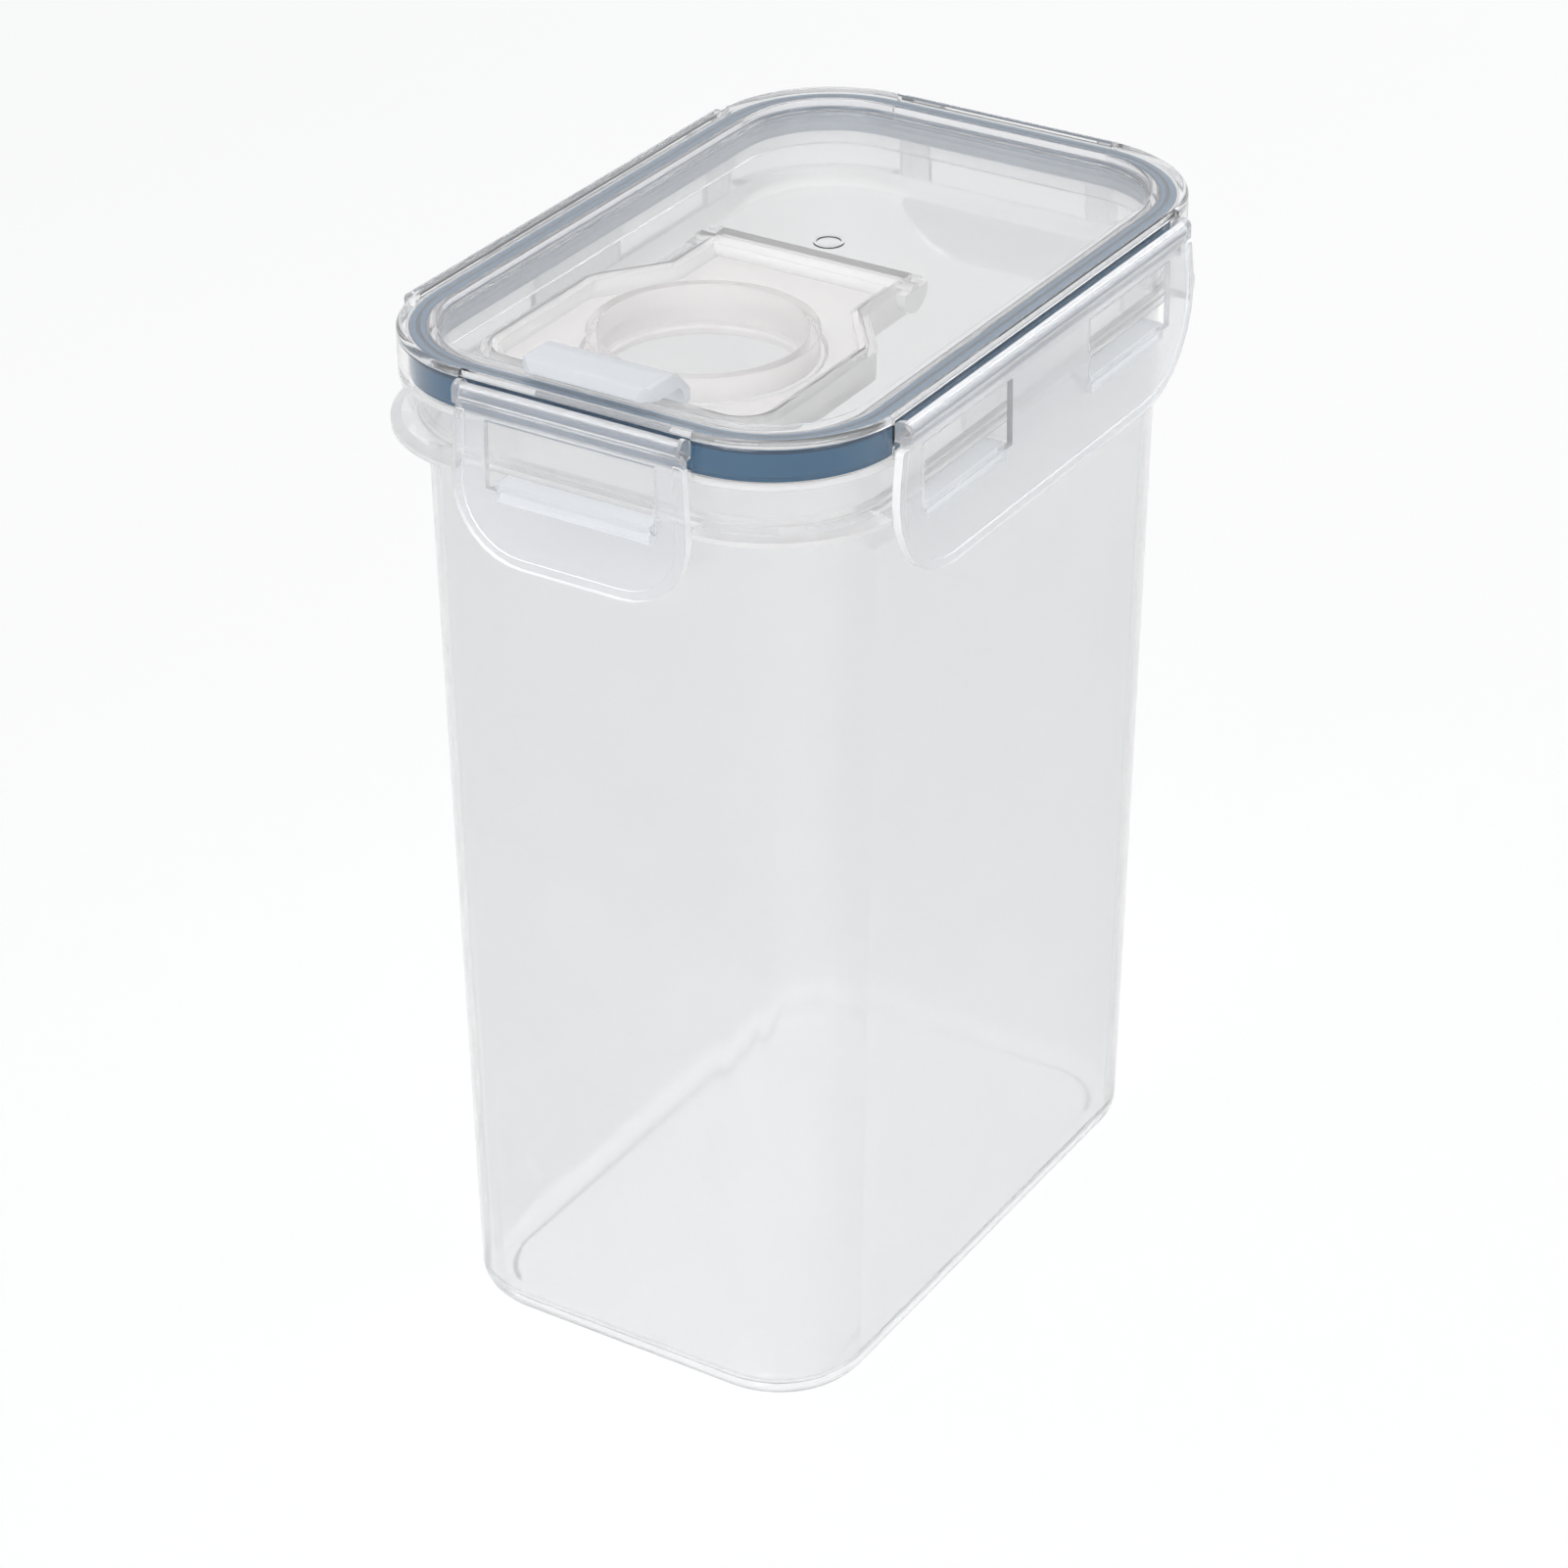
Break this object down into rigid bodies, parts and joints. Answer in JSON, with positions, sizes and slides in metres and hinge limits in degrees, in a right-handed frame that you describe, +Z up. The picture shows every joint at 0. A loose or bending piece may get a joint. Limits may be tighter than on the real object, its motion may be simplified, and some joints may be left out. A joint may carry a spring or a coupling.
{
  "type": "cereal container",
  "caption": "Tall rounded-rectangular dry food container with a gasketed clip-on lid, swing latches on all sides and a flush flip cap over a round pouring hole.",
  "frame": {"origin": "middle of the foot, on the surface that the container stands on", "axes": "+Z up; -Y towards the end with the pouring spout; +X towards a long side's latch"},
  "size_m": [0.1094, 0.1606, 0.2181],
  "materials": {
    "body_plastic": "slightly milky clear moulded plastic",
    "lid_plastic": "clear glossy moulded plastic",
    "latch_plastic": "milky flexible moulded plastic, frosted hooks",
    "gasket_silicone": "satin blue-grey silicone",
    "seal_silicone": "translucent white silicone",
    "tab_plastic": "frosted white plastic"
  },
  "bodies": {
    "container": {"container_body": "body_plastic"},
    "lid": {"lid_cover": "lid_plastic", "lid_gasket": "gasket_silicone"},
    "front_latch": {"latch_front": "latch_plastic"},
    "back_latch": {"latch_back": "latch_plastic"},
    "left_latch": {"latch_left": "latch_plastic"},
    "right_latch": {"latch_right": "latch_plastic"},
    "spout_cap": {"flip_cap": "lid_plastic", "cap_seal": "seal_silicone", "cap_pull_tab": "tab_plastic"}
  },
  "joints": [
    {"name": "lid_lift", "type": "slide", "parent": "container", "child": "lid", "axis": [0, 0, 1], "range_m": [0, 0.06]},
    {"name": "front_latch_swing", "type": "hinge", "parent": "lid", "child": "front_latch", "pos_m": [0, -0.07875, 0.2106], "axis": [-1, 0, 0], "range_deg": [0, 110]},
    {"name": "back_latch_swing", "type": "hinge", "parent": "lid", "child": "back_latch", "pos_m": [0, 0.07875, 0.2106], "axis": [1, 0, 0], "range_deg": [0, 110]},
    {"name": "left_latch_swing", "type": "hinge", "parent": "lid", "child": "left_latch", "pos_m": [-0.05305, 0, 0.2106], "axis": [0, 1, 0], "range_deg": [0, 110]},
    {"name": "right_latch_swing", "type": "hinge", "parent": "lid", "child": "right_latch", "pos_m": [0.05305, 0, 0.2106], "axis": [0, -1, 0], "range_deg": [0, 110]},
    {"name": "spout_cap_flip", "type": "hinge", "parent": "lid", "child": "spout_cap", "pos_m": [0, 0.0005, 0.2096], "axis": [-1, 0, 0], "range_deg": [0, 115]}
  ]
}
